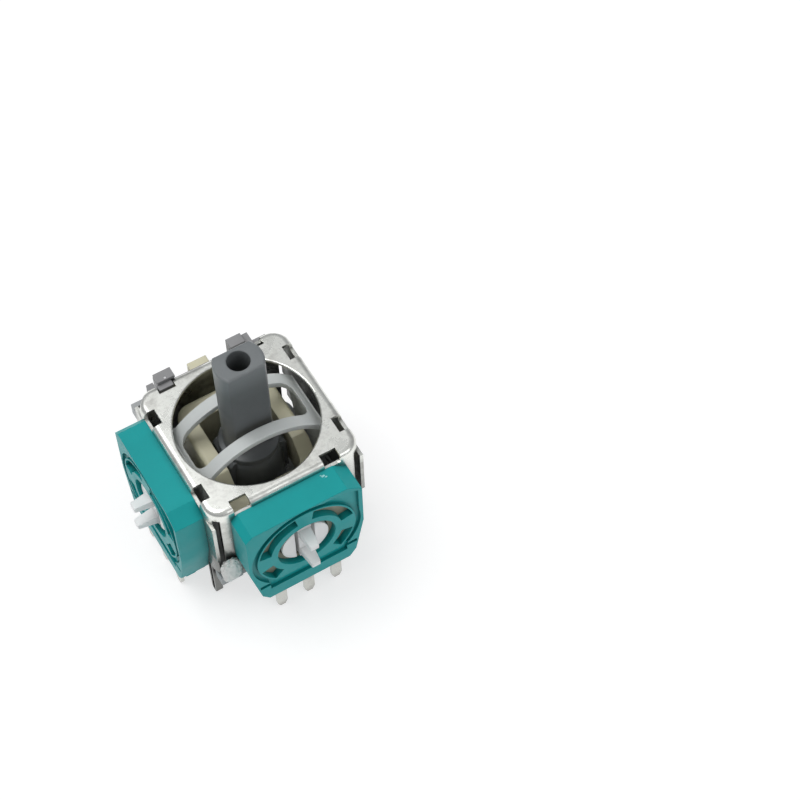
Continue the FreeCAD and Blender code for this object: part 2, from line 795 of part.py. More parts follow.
def make_lower_arm():
    """A deep frame around the stem's hub, sloped at the front, with a shaft over the switch and a
    tongue for its rotor."""
    body = new_body("lower_arm")
    inner_half = s.arm_half - s.arm_bar
    drawing = sketch(body, "XY", s.pivot_height - s.rail_below)
    rounded_rectangle(drawing, -s.rail_outer, -s.arm_half, s.rail_outer, s.arm_half, s.arm_corner)
    pad(body, drawing, s.rail_below + s.rail_above)
    fillet(body, s.arm_edge, lambda box: level_at(box, s.pivot_height + s.rail_above))
    drawing = sketch(body, "XY", s.pivot_height - s.rail_below)
    rounded_rectangle(drawing, -s.rail_inner, -inner_half, s.rail_inner, inner_half, s.arm_corner / 3)
    cut(body, drawing, s.rail_below + s.rail_above)
    drawing = sketch(body, "YZ")
    top = s.pivot_height + s.rail_above
    past = s.arm_half + s.wall_clearance
    polygon(drawing, [(-s.slope_start, top), (-inner_half, s.pivot_height + s.slope_knee),
                      (-past, s.pivot_height + s.slope_end), (-past, top)])
    cut(body, drawing, 2 * s.rail_outer, middle=True)
    drawing = sketch(body, "YZ")
    circle(drawing, 0, s.pivot_height, s.trunnion_radius + s.running_gap)
    cut(body, drawing, 2 * s.rail_outer, middle=True)
    drawing = sketch(body, "XY", s.pivot_height - s.rail_below)
    rectangle(drawing, -s.rail_outer, s.arm_step_start, s.rail_outer, s.arm_half)
    cut(body, drawing, s.rail_below - s.arm_step)
    drawing = sketch(body, "XZ", -s.shaft_end)
    circle(drawing, 0, s.pivot_height, s.shaft_radius)
    pad(body, drawing, s.shaft_end - s.arm_half + s.arm_bar / 2)
    fillet(body, s.shaft_radius / 4, lambda box: near(box.YMin, s.shaft_end))
    drawing = sketch(body, "XZ", -s.shaft_end + s.rim_radius)
    rectangle(drawing, -s.fin_width / 2, s.pivot_height, s.fin_width / 2, s.pivot_height + s.fin_top)
    pad(body, drawing, s.shaft_end - s.rim_radius - s.fin_start)
    drawing = sketch(body, "XZ", s.arm_half - s.arm_bar / 2)
    circle(drawing, 0, s.pivot_height, s.shaft_radius)
    pad(body, drawing, s.tongue_start - s.arm_half + s.arm_bar / 2)
    add_tongue(body, "XZ", 1)
    return body


def add_tongue(body, plane, direction):
    """The flat tongue that turns a rotor. Its end is round, so it can also rock in the rotor's socket."""
    half_width = s.tongue_width / 2
    half_height = s.tongue_height / 2
    rock_centre = s.tongue_end - half_height
    drawing = sketch(body, plane, s.tongue_start if direction > 0 else -rock_centre)
    rectangle(drawing, -half_width, s.pivot_height - half_height, half_width, s.pivot_height + half_height)
    pad(body, drawing, rock_centre - s.tongue_start)
    drawing = sketch(body, "YZ" if plane == "XZ" else "XZ", -half_width)
    circle(drawing, -rock_centre, s.pivot_height, half_height)
    pad(body, drawing, s.tongue_width)


def make_upper_arm():
    """A slotted arch that rises through the window over the stem's hub, on two upright cheeks."""
    body = new_body("upper_arm")
    centre = s.pivot_height
    inner = s.arch_radius - s.arch_thickness
    side_inner = s.arch_side - s.arch_thickness
    drawing = sketch(body, "XZ")
    circle(drawing, 0, centre, s.arch_radius)
    circle(drawing, 0, centre, inner)
    pad(body, drawing, 2 * s.arch_half, middle=True)
    drawing = sketch(body, "XZ")
    reach = s.arch_radius + 1
    polygon(drawing, [(-reach, centre - reach), (reach, centre - reach), (reach, s.frame_height + reach),
                      (s.arch_side, s.frame_height + reach), (s.arch_side, s.arch_shoulder),
                      (-s.arch_side, s.arch_shoulder), (-s.arch_side, s.frame_height + reach),
                      (-reach, s.frame_height + reach)])
    cut(body, drawing, 2 * s.arch_half + 1, middle=True)
    for offset in (side_inner, -s.arch_side):
        drawing = sketch(body, "YZ", offset)
        top = s.arch_shoulder + s.arch_thickness / 2
        polygon(drawing, [(-s.cheek_half, centre), (s.cheek_half, centre), (s.arch_half, s.arch_shoulder - 1),
                          (s.arch_half, top), (-s.arch_half, top), (-s.arch_half, s.arch_shoulder - 1)])
        pad(body, drawing, s.arch_thickness)
        drawing = sketch(body, "YZ", offset)
        circle(drawing, 0, centre, s.cheek_half)
        pad(body, drawing, s.arch_thickness)
    drawing = sketch(body, "XY", centre + s.cheek_half)
    rounded_rectangle(drawing, -s.arch_slot_half, -s.arch_slot, s.arch_slot_half, s.arch_slot,
                      s.arch_slot / 2)
    cut(body, drawing, s.arch_radius)
    drawing = sketch(body, "YZ", side_inner)
    circle(drawing, 0, centre, s.pin_radius)
    pad(body, drawing, s.pin_end - side_inner)
    drawing = sketch(body, "YZ", -s.tongue_start)
    circle(drawing, 0, centre, s.pin_radius)
    pad(body, drawing, s.tongue_start - side_inner)
    add_tongue(body, "YZ", -1)
    return body


def pot_outline(inset):
    """The housing's outline: two bevelled top corners, and sides that narrow towards the board."""
    side = s.pot_half - inset
    chin = s.chin_half - inset
    foot = s.foot_block_half - inset
    low = s.pot_bottom + inset
    top = s.pot_top - inset
    return [(-foot, low), (foot, low), (chin, s.chin_height), (side, s.waist_height),
            (side, s.pot_top - s.bevel_high), (side - s.bevel_wide, top),
            (s.bevel_small - side, top), (-side, s.pot_top - s.bevel_small),
            (-side, s.waist_height), (-chin, s.chin_height)]


def make_housing(prefix):
    """Moulded potentiometer housing, open at the back, with a dial of windows in its face."""
    body = new_body(prefix + "_housing")
    drawing = sketch(body, "XZ", pot_back)
    polygon(drawing, pot_outline(0))
    pad(body, drawing, s.pot_depth)
    drawing = sketch(body, "XZ", pot_back)
    polygon(drawing, pot_outline(s.pot_wall))
    cut(body, drawing, s.pot_depth - s.face_plate)
    add_dial(body)
    add_housing_feet(body)
    return body


def add_dial(body):
    """A sunk round dial with a flat lower edge, four curved windows and the rotor's opening."""
    height = s.pivot_height
    drawing = sketch(body, "XZ", pot_face - s.dial_depth)
    lower = math.degrees(math.asin(s.dial_chord.value / s.dial_radius.value))
    index = arc(drawing, 0, height, s.dial_radius, -lower, 180 + lower)
    curve = drawing.Geometry[index]
    drawing.addGeometry(Part.LineSegment(curve.EndPoint, curve.StartPoint))
    drawing.addConstraint(Sketcher.Constraint("Coincident", index, 2, index + 1, 1))
    drawing.addConstraint(Sketcher.Constraint("Coincident", index, 1, index + 1, 2))
    hold_point(drawing, index, 3, (0, height))
    hold(drawing, "Radius", index, s.dial_radius)
    hold(drawing, "DistanceY", -1, 1, index, 1, height - s.dial_chord)
    hold(drawing, "DistanceY", -1, 1, index, 2, height - s.dial_chord)
    cut(body, drawing, s.dial_depth)
    drawing = sketch(body, "XZ", face_back)
    circle(drawing, 0, height, s.ring_radius)
    pad(body, drawing, s.face_plate)
    drawing = sketch(body, "XZ", pot_face - s.dial_depth)
    rectangle(drawing, -s.ring_radius, s.groove_high, s.ring_radius, height - s.dial_chord)
    cut(body, drawing, s.dial_depth)
    drawing = sketch(body, "XZ", face_back)
    ring_sector(drawing, 0, height, s.arc_inner, s.arc_outer, s.arc_start, s.arc_stop)
    ring_sector(drawing, 0, height, s.arc_inner, s.arc_outer, 180 - s.arc_stop, 180 - s.arc_start)
    ring_sector(drawing, 0, height, s.arc_inner, s.arc_outer, 0 - s.low_arc_stop, 0 - s.low_arc_start)
    ring_sector(drawing, 0, height, s.arc_inner, s.arc_outer, 180 + s.low_arc_start, 180 + s.low_arc_stop)
    circle(drawing, 0, height, s.hub_opening)
    cut(body, drawing, s.face_plate)
    drawing = sketch(body, "XZ", pot_face - s.dial_depth)
    rectangle(drawing, -s.groove_half, s.groove_low, s.groove_half, s.groove_high)
    cut(body, drawing, s.dial_depth)


def add_housing_feet(body):
    """The stepped block under the face, its two feet, and the pockets that hold the terminals."""
    feet_back = pot_back + s.wall_clearance
    feet_front = face_back
    drawing = sketch(body, "XY", s.foot_block_low)
    rectangle(drawing, -s.foot_block_half, -feet_front, s.foot_block_half, -feet_back)
    pad(body, drawing, s.pot_bottom + s.pot_wall - s.foot_block_low)
    drawing = sketch(body, "XY")
    for end in (-1, 1):
        x_near = end * (s.foot_block_half - s.terminal_width)
        x_far = end * s.foot_block_half
        rectangle(drawing, x_near, -feet_front, x_far, -(feet_front + feet_back) / 2)
    pad(body, drawing, s.pot_bottom)
    drawing = sketch(body, "XZ", face_back)
    half = s.terminal_width / 2 + s.terminal_gap
    for place in (-1, 0, 1):
        middle = place * s.terminal_pitch
        rectangle(drawing, middle - half, 0, middle + half, s.terminal_head + s.terminal_gap)
    cut(body, drawing, s.terminal + s.terminal_gap)


def make_wafer(prefix):
    """The thin resistor plate behind the housing's face, with a round hole for the rotor's hub."""
    body = new_body(prefix + "_wafer")
    drawing = sketch(body, "XZ", face_back - s.wafer)
    polygon(drawing, pot_outline(s.pot_wall + s.wafer_gap))
    circle(drawing, 0, s.pivot_height, s.rotor_hub + s.wafer_gap)
    pad(body, drawing, s.wafer)
    return body


def make_terminals(prefix):
    """Three flat tinned terminals with tapered tips, on the front of the wafer."""
    body = new_body(prefix + "_terminals")
    half = s.terminal_width / 2
    tip_half = s.terminal_width / 4
    tip = -s.terminal_reach
    drawing = sketch(body, "XZ", face_back)
    for place in (-1, 0, 1):
        middle = place * s.terminal_pitch
        polygon(drawing, [(middle - tip_half, tip), (middle + tip_half, tip),
                          (middle + half, tip + s.terminal_tip), (middle + half, s.terminal_head),
                          (middle - half, s.terminal_head), (middle - half, tip + s.terminal_tip)])
    body.AllowCompound = True
    pad(body, drawing, s.terminal)
    return body


def make_rotor(prefix):
    """White rotor: a neck in the wall's bearing, a disc, and a hub that ends in two prongs."""
    body = new_body(prefix + "_rotor")
    height = s.pivot_height
    drawing = sketch(body, "XZ", s.neck_start)
    circle(drawing, 0, height, s.neck_radius)
    pad(body, drawing, s.disc_start - s.neck_start)
    drawing = sketch(body, "XZ", s.disc_start)
    circle(drawing, 0, height, s.disc_radius)
    pad(body, drawing, s.disc)
    drawing = sketch(body, "XZ", s.disc_start)
    circle(drawing, 0, height, s.rotor_hub)
    pad(body, drawing, s.hub_end - s.disc_start)
    half = s.prong_width / 2
    drawing = sketch(body, "XZ", s.hub_end - s.lobe_depth)
    for side in (-1, 1):
        inner = side * (half + s.lobe_gap)
        rectangle(drawing, side * half, height - s.rotor_hub, inner, height + s.rotor_hub)
    cut(body, drawing, s.lobe_depth)
    drawing = sketch(body, "XZ", s.hub_end - s.lobe_depth / 2)
    for side in (-1, 1):
        middle = height + side * s.prong_offset
        rectangle(drawing, -half, middle - s.prong / 2, half, middle + s.prong / 2)
    prongs = pad(body, drawing, s.prong_end - s.hub_end + s.lobe_depth / 2)
    bind(prongs, "TaperAngle", -s.prong_taper)
    doc.recompute()
    fillet(body, s.prong_round, lambda box: near(box.YMin, -s.prong_end) and near(box.YMax, -s.prong_end))
    drawing = sketch(body, "XZ", s.neck_start)
    rectangle(drawing, -s.socket_width / 2, height - s.socket_height / 2,
              s.socket_width / 2, height + s.socket_height / 2)
    cut(body, drawing, s.socket_end - s.neck_start)
    return body


def make_wiper(prefix):
    """The rotor's contact: a flat ring with two sprung brushes that reach towards the wafer."""
    body = new_body(prefix + "_wiper")
    start = s.disc_start + s.disc
    height = s.pivot_height
    drawing = sketch(body, "XZ", start)
    circle(drawing, 0, height, s.wiper_outer)
    circle(drawing, 0, height, s.wiper_inner)
    pad(body, drawing, s.wiper)
    drawing = sketch(body, "XZ", start)
    middle = (s.wiper_inner + s.wiper_outer) / 2
    for side in (-1, 1):
        centre = side * middle
        rectangle(drawing, centre - s.brush_width / 2, height - s.brush_width,
                  centre + s.brush_width / 2, height + s.brush_width)
    pad(body, drawing, s.brush_rise)
    return body


def make_pot(prefix, angle):
    """One potentiometer, built on the -Y side and turned about the stem's axis to its own side."""
    pieces = [make_housing(prefix), make_wafer(prefix), make_terminals(prefix),
              make_rotor(prefix), make_wiper(prefix)]
    rotation = FreeCAD.Rotation(FreeCAD.Vector(0, 0, 1), angle)
    for piece in pieces:
        piece.Placement = FreeCAD.Placement(FreeCAD.Vector(0, 0, 0), rotation)
    return pieces


def make_spring_seat():
    """The plate that the stem's foot stands on, with a pin that slides in the base's middle hole."""
    body = new_body("spring_seat")
    drawing = sketch(body, "XY", seat_bottom)
    rounded_rectangle(drawing, -s.seat_half_x, -s.seat_half_y, s.seat_half_x, s.seat_half_y, s.seat_corner)
    pad(body, drawing, s.seat)
    drawing = sketch(body, "XY", s.seat_pin_end)
    circle(drawing, 0, 0, s.boss_bore - s.running_gap)
    pad(body, drawing, seat_bottom - s.seat_pin_end)
    return body


def make_return_spring():
    """A short compression spring around the seat's pin, between the base and the seat."""
    low = s.base_top + s.spring_gap + s.wire / 2
    high = seat_bottom - s.spring_gap - s.wire / 2
    coil = doc.addObject("Part::Helix", "spring_path")
    bind(coil, "Radius", s.coil_radius)
    bind(coil, "Height", high - low)
    bind(coil, "Pitch", (high - low) / s.turns)
    bind(coil, "Placement.Base.z", low)
    section = doc.addObject("Part::Circle", "spring_section")
    bind(section, "Radius", s.wire / 2)
    section.Placement = FreeCAD.Placement(FreeCAD.Vector(0, 0, 0),
                                          FreeCAD.Rotation(FreeCAD.Vector(1, 0, 0), 90))
    bind(section, "Placement.Base.x", s.coil_radius)
    bind(section, "Placement.Base.z", low)
    doc.recompute()
    spring = doc.addObject("Part::Sweep", "return_spring")
    spring.Label = "return_spring"
    spring.Sections = [section]
    spring.Spine = (coil, ["Edge%d" % (index + 1) for index in range(len(coil.Shape.Edges))])
    spring.Solid = True
    spring.Frenet = True
    doc.recompute()
    return spring


def make_switch():
    """The push switch under the lower arm's shaft: body, dome, button, steel cover and pins."""
    centre = s.switch_y
    body = new_body("switch_body")
    drawing = sketch(body, "XY", s.deck_top)
    rectangle(drawing, -s.switch_half, centre - s.switch_half, s.switch_half, centre + s.switch_half)
    pad(body, drawing, s.switch_top - s.deck_top)
    drawing = sketch(body, "XY", s.cavity_floor)
    circle(drawing, 0, centre, s.switch_cavity)
    cut(body, drawing, s.switch_top - s.cavity_floor)

    plate = new_body("switch_cover")
    drawing = sketch(plate, "XY", s.switch_top)
    rounded_rectangle(drawing, -s.switch_half, centre - s.switch_half, s.switch_half,
                      centre + s.switch_half, s.switch_half / 6)
    circle(drawing, 0, centre, s.button_radius + s.button_clearance)
    pad(plate, drawing, s.switch_cover)

    button = new_body("switch_button")
    drawing = sketch(button, "XY", s.button_foot)
    circle(drawing, 0, centre, s.button_radius)
    pad(button, drawing, button_top - s.button_foot)

    dome = new_body("switch_dome")
    drawing = sketch(dome, "XZ", -centre)
    floor = s.cavity_floor
    polygon(drawing, [(0, floor + s.dome_height - s.dome), (s.dome_radius * 0.5, floor + s.dome_height * 0.6),
                      (s.dome_radius, floor), (s.dome_radius, floor + s.dome),
                      (s.dome_radius * 0.5, floor + s.dome_height * 0.6 + s.dome), (0, floor + s.dome_height)])
    turn(dome, drawing)
    return [body, plate, button, dome, make_switch_pins()]


def make_switch_pins():
    """Four pins that leave the switch's sides and go down through the deck."""
    body = new_body("switch_terminals")
    body.AllowCompound = True
    half = s.pin_width / 2
    outer = s.pin_row_x + s.pin_sheet / 2
    inner = s.pin_row_x - s.pin_sheet / 2
    for side in (-1, 1):
        for end in (-1, 1):
            middle = s.switch_y + end * s.pin_row_y
            drawing = sketch(body, "YZ", inner if side > 0 else -outer)
            tip = -s.leg_reach
            polygon(drawing, [(middle - half / 2, tip), (middle + half / 2, tip),
                              (middle + half, tip + s.terminal_tip), (middle + half, s.deck_top + half),
                              (middle - half, s.deck_top + half), (middle - half, tip + s.terminal_tip)])
            pad(body, drawing, s.pin_sheet)
            drawing = sketch(body, "YZ", s.switch_half if side > 0 else -outer)
            rectangle(drawing, middle - half, s.deck_top + half - s.pin_sheet, middle + half, s.deck_top + half)
            pad(body, drawing, outer - s.switch_half)
    return body


def make_guide():
    """The dark holder on the switch side: a plate hooked over the cover's edge, two cheeks beside
    the shaft and a ledge around the button."""
    body = new_body("switch_guide")
    drawing = sketch(body, "XZ", -guide_face)
    rectangle(drawing, -s.guide_half, s.guide_foot, s.guide_half, s.guide_top)
    pad(body, drawing, s.guide_depth)
    slot_half = s.shaft_radius + s.guide_slot_gap
    for side in (-1, 1):
        drawing = sketch(body, "YZ", s.cheek_inner if side > 0 else -s.cheek_inner - s.cheek_wall)
        rectangle(drawing, guide_back, s.guide_foot, s.cheek_reach, s.cheek_top)
        pad(body, drawing, s.cheek_wall)
    drawing = sketch(body, "XY", s.guide_foot)
    side = s.cheek_inner + s.cheek_wall
    rectangle(drawing, -side, guide_back, side, s.cheek_reach)
    pad(body, drawing, s.ledge)
    drawing = sketch(body, "XZ", -guide_face)
    circle(drawing, 0, s.pivot_height, slot_half)
    cut(body, drawing, s.guide_depth)
    drawing = sketch(body, "XZ", -guide_face)
    rectangle(drawing, -slot_half, s.guide_foot, slot_half, s.pivot_height)
    cut(body, drawing, s.guide_depth)
    drawing = sketch(body, "XY", s.guide_foot)
    circle(drawing, 0, s.switch_y, s.button_radius + s.guide_slot_gap)
    cut(body, drawing, button_top - s.guide_foot + s.button_gap)
    drawing = sketch(body, "XZ", -guide_face)
    low = s.pivot_height + slot_half + s.guide_border
    high = s.guide_top - s.guide_border
    rectangle(drawing, -s.guide_half + s.guide_border, s.cheek_top + s.guide_border, -s.guide_border / 2, high)
    rectangle(drawing, s.guide_border / 2, low, s.guide_half - s.guide_border, high)
    cut(body, drawing, s.guide_panel)
    for left, right, lip_left, lip_right in ((-s.hook_left, -s.hook_left_end, -s.lip_far, -s.lip_near),
                                             (s.hook_right, s.hook_right_end, s.lip_near, s.lip_far_right)):
        foot = s.guide_top - s.guide_border
        drawing = sketch(body, "XZ", -guide_face)
        rectangle(drawing, left, foot, right, s.hook_top)
        pad(body, drawing, s.guide_depth)
        drawing = sketch(body, "XZ", -guide_back)
        rectangle(drawing, left, s.hook_top - s.hook_lip, right, s.hook_top)
        pad(body, drawing, guide_back - s.hook_reach)
        drawing = sketch(body, "XZ", -guide_face)
        rectangle(drawing, lip_left, foot, lip_right, s.frame_height)
        pad(body, drawing, s.guide_depth)
        drawing = sketch(body, "XZ", -guide_back)
        rectangle(drawing, lip_left, s.frame_height - s.lip_low, lip_right, s.frame_height)
        pad(body, drawing, guide_back - s.lip_reach)
    return body


def make_all():
    pieces = [make_cover(), make_base(), make_stem(), make_lower_arm(), make_upper_arm()]
    pieces += make_pot("pot_y", 0)
    pieces += make_pot("pot_x", -90)
    pieces += [make_spring_seat(), make_return_spring()]
    pieces += make_switch()
    pieces += [make_guide()]
    return pieces


def check_and_write(pieces):
    doc.recompute()
    for item in doc.Objects:
        if "Invalid" in item.State or "Error" in item.State:
            raise RuntimeError(item.Label + " failed")
    for piece in pieces:
        if piece.Shape.isNull() or not piece.Shape.isValid():
            raise RuntimeError(piece.Label + " has no valid shape")
    os.makedirs("parts", exist_ok=True)
    for piece in pieces:
        piece.Shape.exportStep("parts/%s.step" % piece.Label)
        print("%-18s solids %d volume %.3f" % (piece.Label, len(piece.Shape.Solids), piece.Shape.Volume))


check_and_write(make_all())
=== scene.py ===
import json
import math
import bmesh
import bpy
from mathutils import Euler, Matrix, Vector, noise as field


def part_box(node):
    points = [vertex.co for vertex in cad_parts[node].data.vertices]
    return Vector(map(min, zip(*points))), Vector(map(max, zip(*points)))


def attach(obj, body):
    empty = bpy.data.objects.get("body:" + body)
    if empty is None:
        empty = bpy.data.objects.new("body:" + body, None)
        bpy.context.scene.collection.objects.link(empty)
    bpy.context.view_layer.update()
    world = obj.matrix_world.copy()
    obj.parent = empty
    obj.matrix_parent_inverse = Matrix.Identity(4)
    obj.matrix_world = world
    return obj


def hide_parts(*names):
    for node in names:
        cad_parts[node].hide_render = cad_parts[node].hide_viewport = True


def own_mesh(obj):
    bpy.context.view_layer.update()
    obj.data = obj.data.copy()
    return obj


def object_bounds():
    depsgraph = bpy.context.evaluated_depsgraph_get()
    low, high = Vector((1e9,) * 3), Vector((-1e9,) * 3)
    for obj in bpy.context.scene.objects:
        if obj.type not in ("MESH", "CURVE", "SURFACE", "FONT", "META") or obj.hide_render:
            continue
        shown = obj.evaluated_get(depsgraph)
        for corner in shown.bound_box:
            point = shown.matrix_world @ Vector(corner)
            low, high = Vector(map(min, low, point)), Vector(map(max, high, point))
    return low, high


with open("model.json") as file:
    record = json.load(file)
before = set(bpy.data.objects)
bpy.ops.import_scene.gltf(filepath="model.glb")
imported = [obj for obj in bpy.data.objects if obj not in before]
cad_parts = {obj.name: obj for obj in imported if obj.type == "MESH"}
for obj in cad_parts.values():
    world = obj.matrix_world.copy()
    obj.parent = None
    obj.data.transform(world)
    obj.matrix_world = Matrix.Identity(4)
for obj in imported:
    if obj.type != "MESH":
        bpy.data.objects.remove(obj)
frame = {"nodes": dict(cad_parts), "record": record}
cad_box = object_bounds()
nodes = frame["nodes"]
joints = {joint["name"]: joint for joint in frame["record"]["behaviour"]["joints"]}

# Places and lengths below are in millimetres, which MM turns into metres
MM = 0.001
PIVOT = joints["tilt_x"]["pos_m"][2] / MM

# The camera's place, turn and lens, solved from the plate, the housings and the terminals in the photograph
SENSOR = 36.0
LENS = 94.73
CAMERA_PLACE = (-32.554, -81.563, 148.998)
CAMERA_DEGREES = (32.7967, 0.7278, -30.67)
CAMERA_CLIP_METRES = (0.01, 10.0)

# Sunk corners of the housings: the disc that is left round the dial, the outer edges with the points where
# they follow the housing's cut corners, by end, and the distances from the stem's axis between which they lie
RECESS_DISC = 4.4
RECESS_ARC_DEGREES = 88
RECESS_ARC_STEPS = 18
RECESS_SIDE = 4.7
RECESS_TOP = 10.6
RECESS_MIDDLE_GAP = 0.15
RECESS_BEVELS = {-1: [(-4.7, 10.3), (-4.1, 10.6)], 1: [(4.7, 9.95), (3.45, 10.6)]}
RECESS_DEPTHS = (8.75, 9.3)

# Boxes that are cut from the base and from the switch's holder, as two opposite corners
POST_CUT = ((-6.6, -8.0, 0.5), (-4.3, -6.3, 5.4))
CHEEK_CUT = ((-4.5, 7.45, 6.0), (4.5, 11.0, 8.0))
SHOULDER_CUT = ((-5.7, 6.5, 8.4), (-4.42, 8.0, 12.2))

# The longer end of the arch's slot, as two corners of a rounded rectangle and the heights that it cuts
SLOT_CORNERS = ((-5.08, -1.74), (-3.4, 1.74))
SLOT_RADIUS = 0.8
SLOT_HEIGHTS = (8.0, 13.5)

# The skirt round the stem's hub, as radius and height from its lower edge up, and the bumps beside it
SKIRT_PROFILE = [(1.6, 4.75), (2.55, 4.72), (2.72, 4.82), (2.74, 5.0), (2.66, 5.2), (2.62, 6.0), (2.6, 7.2),
                 (2.52, 8.2), (2.4, 8.75), (2.2, 8.95), (1.9, 9.02)]
BUMP_PLACES = [(-1.28, -1.9), (1.02, -2.35), (2.1, -1.6)]
BUMP_HEIGHT = 5.2
BUMP_HALF = (0.22, 0.2, 0.16)

# Middles and half sizes of the rough lump, the pale dot that is a painted glint on a hook and the scuffs on
# the front housing
LUMP_MIDDLE = (-5.7, -6.85, 3.75)
LUMP_HALF = (0.8, 0.34, 1.45)
GLINT_MIDDLE = (-3.67, 6.57, 11.95)
GLINT_HALF = (0.1, 0.1, 0.035)
SCUFFS = [(2.77, -7.05, 0.15), (2.95, -7.22, 0.1), (2.62, -6.92, 0.07)]
SCUFF_HEIGHT = 10.95
SCUFF_HALF_THICK = 0.02

# How far light spreads inside a plastic, how wide the painted shade in corners is, how round the metal's
# edges look, and the angle from which an edge is sharp
SCATTER_DEPTH = 0.5
PLASTIC_SHADE_REACH = 0.6
METAL_SHADE_REACH = 0.9
METAL_EDGE = 0.06
SHARP_DEGREES = 34

# Floor and light, in metres and watts. The floor lies under the tips of the pins
FLOOR_HALF = 1.5
FLOOR_HEIGHT = cad_box[0][2]
LAMP_TARGET = (0, 0, 0.006)
LAMPS = {
    "key": {"place": (-0.12, 0.1, 0.42), "size": 0.3, "power": 0.85},
    "fill": {"place": (0.2, -0.35, 0.3), "size": 0.3, "power": 0.26},
    "plate_sheen": {"place": (-0.005, 0.155, 0.37), "size": 0.12, "power": 0.05},
}
SKY = [(0.0, (0.75, 0.76, 0.78)), (0.35, (0.62, 0.63, 0.65)), (1.0, (0.95, 0.96, 0.97))]
SKY_STRENGTH = 0.55


def make_camera():
    """The camera that sees the part as the photograph does."""
    data = bpy.data.cameras.new("photo_camera")
    data.sensor_width = SENSOR
    data.lens = LENS
    data.clip_start, data.clip_end = CAMERA_CLIP_METRES
    camera = bpy.data.objects.new("photo_camera", data)
    camera.location = Vector(CAMERA_PLACE) * MM
    camera.rotation_euler = Euler([math.radians(angle) for angle in CAMERA_DEGREES], "XYZ")
    bpy.context.scene.collection.objects.link(camera)
    bpy.context.scene.camera = camera


# Materials
def new_material(name):
    material = bpy.data.materials.new(name)
    material.use_nodes = True
    tree = material.node_tree
    return material, tree, tree.nodes["Principled BSDF"]


def node(tree, kind, inputs=None, **settings):
    """A new shader node with some of its inputs and settings filled in."""
    made = tree.nodes.new("ShaderNode" + kind)
    for key, value in (inputs or {}).items():
        made.inputs[key].default_value = value
    for key, value in settings.items():
        setattr(made, key, value)
    return made


def noise(tree, scale, detail, roughness=0.55):
    """Cloudy values in the object's own space."""
    place = node(tree, "TexCoord")
    grain = node(tree, "TexNoise", {"Scale": scale, "Detail": detail, "Roughness": roughness})
    tree.links.new(place.outputs["Object"], grain.inputs["Vector"])
    return grain.outputs["Fac"]


def ramp(tree, source, stops):
    """Colours at places along the source's values."""
    made = node(tree, "ValToRGB")
    marks = made.color_ramp.elements
    while len(marks) < len(stops):
        marks.new(0.5)
    for mark, (place, colour) in zip(marks, stops):
        mark.position = place
        mark.color = (*colour, 1.0)
    tree.links.new(source, made.inputs["Fac"])
    return made.outputs["Color"]


def spread(tree, source, low, high, start=0.3, end=0.7):
    """The source's values from start to end, stretched to run from low to high."""
    made = node(tree, "MapRange", {"From Min": start, "From Max": end, "To Min": low, "To Max": high})
    tree.links.new(source, made.inputs["Value"])
    return made.outputs["Result"]


def scaled(tree, colour, factor):
    made = node(tree, "VectorMath", operation="SCALE")
    tree.links.new(colour, made.inputs["Vector"])
    tree.links.new(factor, made.inputs["Scale"])
    return made.outputs["Vector"]


def along(tree, axis, start, end, low, high):
    """A factor that runs from low to high along an axis, between two places in millimetres."""
    place = node(tree, "TexCoord")
    split = node(tree, "SeparateXYZ")
    tree.links.new(place.outputs["Object"], split.inputs[0])
    return spread(tree, split.outputs[axis], low, high, start * MM, end * MM)


def painted_crevice_shade(tree, reach, low, start=0.45, end=0.95):
    """A painted shade: a factor from ambient occlusion that falls to low in corners and beside steps."""
    hidden = node(tree, "AmbientOcclusion", {"Distance": reach * MM}, samples=6)
    return spread(tree, hidden.outputs["AO"], low, 1.0, start, end)


def relief(tree, shader, source, height, edge):
    """Fine bumps of a height, and edges that look rounded by a radius, both in millimetres."""
    bump = node(tree, "Bump", {"Strength": 1.0, "Distance": height * MM})
    tree.links.new(source, bump.inputs["Height"])
    if edge:
        rounding = node(tree, "Bevel", {"Radius": edge * MM}, samples=4)
        tree.links.new(rounding.outputs["Normal"], bump.inputs["Normal"])
    tree.links.new(bump.outputs["Normal"], shader.inputs["Normal"])


def shade(colour, factor):
    return tuple(min(1.0, part * factor) for part in colour)


def with_painted_light_and_shade(tree, colours, painted_shade, light_and_shade_ramp):
    """Colours darkened by the painted shade in corners and, where a ramp is given, made lighter or darker
    along an axis as painted light and shade.
    """
    colours = scaled(tree, colours, painted_shade)
    # Painted light and shade: the colours grow lighter or darker along an axis
    if light_and_shade_ramp:
        colours = scaled(tree, colours, along(tree, *light_and_shade_ramp))
    return colours


def plastic(name, colour, rough=(0.38, 0.5), vary=0.12, patch=260.0, grain=5200.0, height=0.004, edge=0.07,
            level=0.5, scatter=0.0, light_and_shade_ramp=None, crevice_shade=0.8):
    material, tree, shader = new_material(name)
    cloud = noise(tree, patch, 5.0, 0.6)
    colours = ramp(tree, cloud, [(0.3, shade(colour, 1 - vary)), (0.7, shade(colour, 1 + vary))])
    # Painted shade in corners, and painted light and shade along an axis where one is given, change the
    # colours
    colours = with_painted_light_and_shade(tree, colours, painted_crevice_shade(tree, PLASTIC_SHADE_REACH, crevice_shade), light_and_shade_ramp)
    tree.links.new(colours, shader.inputs["Base Color"])
    tree.links.new(spread(tree, noise(tree, patch * 3, 3.0), *rough), shader.inputs["Roughness"])
    shader.inputs["Specular IOR Level"].default_value = level
    if scatter:
        shader.inputs["Subsurface Weight"].default_value = scatter
        shader.inputs["Subsurface Radius"].default_value = (1.0, 1.0, 1.0)
        shader.inputs["Subsurface Scale"].default_value = SCATTER_DEPTH * MM
    relief(tree, shader, noise(tree, grain, 3.0), height, edge)
    return material


